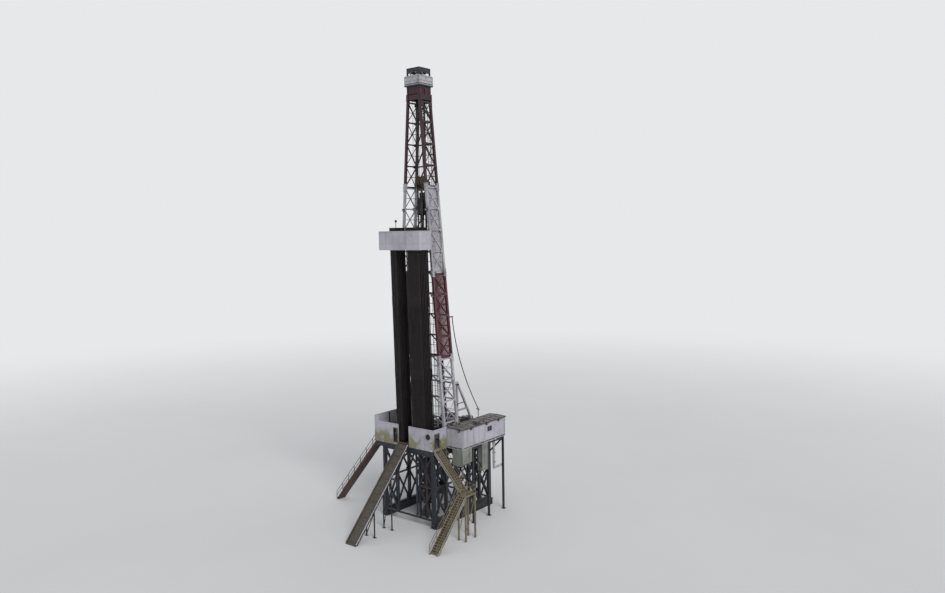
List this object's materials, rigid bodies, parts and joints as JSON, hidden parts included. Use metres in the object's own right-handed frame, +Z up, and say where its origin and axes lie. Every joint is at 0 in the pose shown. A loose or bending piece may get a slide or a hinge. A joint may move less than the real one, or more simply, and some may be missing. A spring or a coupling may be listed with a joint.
{
  "type": "land drilling rig, 1:2 scale model",
  "caption": "Land drilling rig at 1:2 scale: lattice mast, travelling block, racking board with pipe, drill floor, wind walls, doghouse, ramp and stairs.",
  "frame": {"origin": "well centre at ground level", "axes": "+Z up, -Y towards the ramp at the front, +X towards the doghouse"},
  "size_m": [12.59, 11.1157, 29.899],
  "materials": {
    "navy_steel": "satin, dusty",
    "deck_steel": "worn, oily",
    "worn_timber": "worn",
    "bare_steel": "worn",
    "ground_ring": "dusty",
    "well_steel": "weathered",
    "machine_dark": "greasy",
    "mast_white": "weathered",
    "mast_faded_red": "faded",
    "mast_red": "weathered",
    "rail_white": "weathered",
    "sheave_steel": "greasy",
    "platform_teal": "weathered",
    "block_olive": "worn",
    "wire_rope": "greased",
    "panel_white": "stained",
    "drill_pipe": "rusty, oiled",
    "tank_grey": "dusty",
    "hose_rubber": "matt",
    "roof_grey": "dusty",
    "cabin_white": "stained",
    "ramp_steel": "worn",
    "stair_paint": "worn",
    "stair_rust": "worn"
  },
  "bodies": {
    "rig": {"base_skids": "navy_steel", "side_frame_left": "navy_steel", "side_frame_right": "navy_steel", "cross_frames": "navy_steel", "floor_beams": "navy_steel", "drill_floor": "deck_steel", "setback_mats": "worn_timber", "rotary_table": "bare_steel", "cellar_ring": "ground_ring", "bop_stack": "well_steel", "bell_nipple": "well_steel", "well_posts": "tank_grey", "drawworks": "machine_dark", "rear_frames": "mast_white", "rear_rails": "rail_white", "mast_1_left": "mast_white", "mast_1_right": "mast_white", "mast_1_back": "mast_white", "mast_2_left": "mast_faded_red", "mast_2_right": "mast_faded_red", "mast_2_back": "mast_faded_red", "mast_3_left": "mast_white", "mast_3_right": "mast_white", "mast_3_back": "mast_white", "mast_4_left": "mast_red", "mast_4_right": "mast_red", "mast_4_back": "mast_red", "guide_rails": "machine_dark", "crown_beams": "mast_red", "crown_sheaves": "sheave_steel", "crown_platform": "platform_teal", "crown_rails": "rail_white", "top_frame": "mast_red", "drilling_lines": "wire_rope", "racking_board": "navy_steel", "racking_wall": "panel_white", "stands_left": "drill_pipe", "stands_right": "drill_pipe", "service_line": "hose_rubber", "front_walls": "panel_white", "side_walls": "panel_white", "doghouse_floor": "roof_grey", "doghouse_side_walls": "cabin_white", "doghouse_end_walls": "cabin_white", "doghouse_roof": "roof_grey", "doghouse_supports": "navy_steel", "doghouse_tank": "tank_grey", "doghouse_cabinet": "tank_grey", "drop_pipe": "rail_white", "ramp": "ramp_steel", "right_stair_upper": "stair_paint", "right_stair_landing": "stair_paint", "right_stair_lower": "stair_paint", "left_stair": "stair_rust"},
    "travelling": {"travelling_block": "block_olive", "top_drive": "machine_dark"}
  },
  "joints": [
    {"name": "block_hoist", "type": "slide", "parent": "rig", "child": "travelling", "axis": [0, 0, 1], "range_m": [-13, 2.5], "deforming": ["drilling_lines"]}
  ]
}
